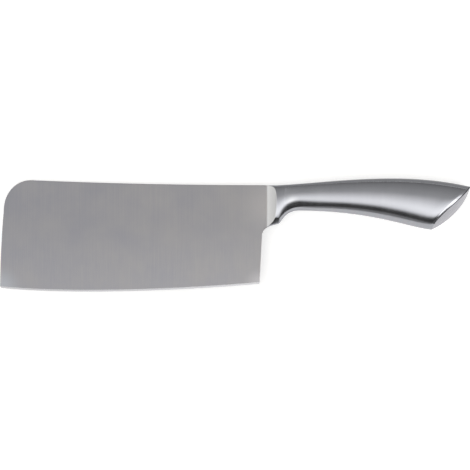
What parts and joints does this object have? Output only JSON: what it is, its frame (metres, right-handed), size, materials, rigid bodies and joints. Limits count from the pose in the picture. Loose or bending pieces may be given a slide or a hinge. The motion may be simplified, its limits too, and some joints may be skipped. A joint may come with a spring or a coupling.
{
  "type": "cleaver",
  "caption": "All-steel kitchen cleaver: deep rectangular blade with a rounded front corner, a hollow-ground bolster and a curved hollow handle with a slanted domed butt.",
  "frame": {"origin": "centre of the bounding box in X and Y, at its lowest point, where the cleaver lies on its right side", "axes": "+X from the blade's front end to the butt, +Y from the cutting edge to the spine, +Z out of the left face of the blade"},
  "size_m": [0.3072, 0.074, 0.0208],
  "materials": {
    "blade_steel": "satin",
    "handle_steel": "satin",
    "weld_steel": "satin",
    "sand": "matte"
  },
  "bodies": {
    "root": {"blade": "blade_steel", "blade_weld": "weld_steel", "bolster": "handle_steel", "neck_weld": "weld_steel", "handle_shell_left": "handle_steel", "handle_shell_right": "handle_steel", "spine_seam_weld": "weld_steel", "belly_seam_weld": "weld_steel", "butt_weld": "weld_steel", "butt_cap": "handle_steel", "sand_ballast": "sand"}
  },
  "joints": []
}
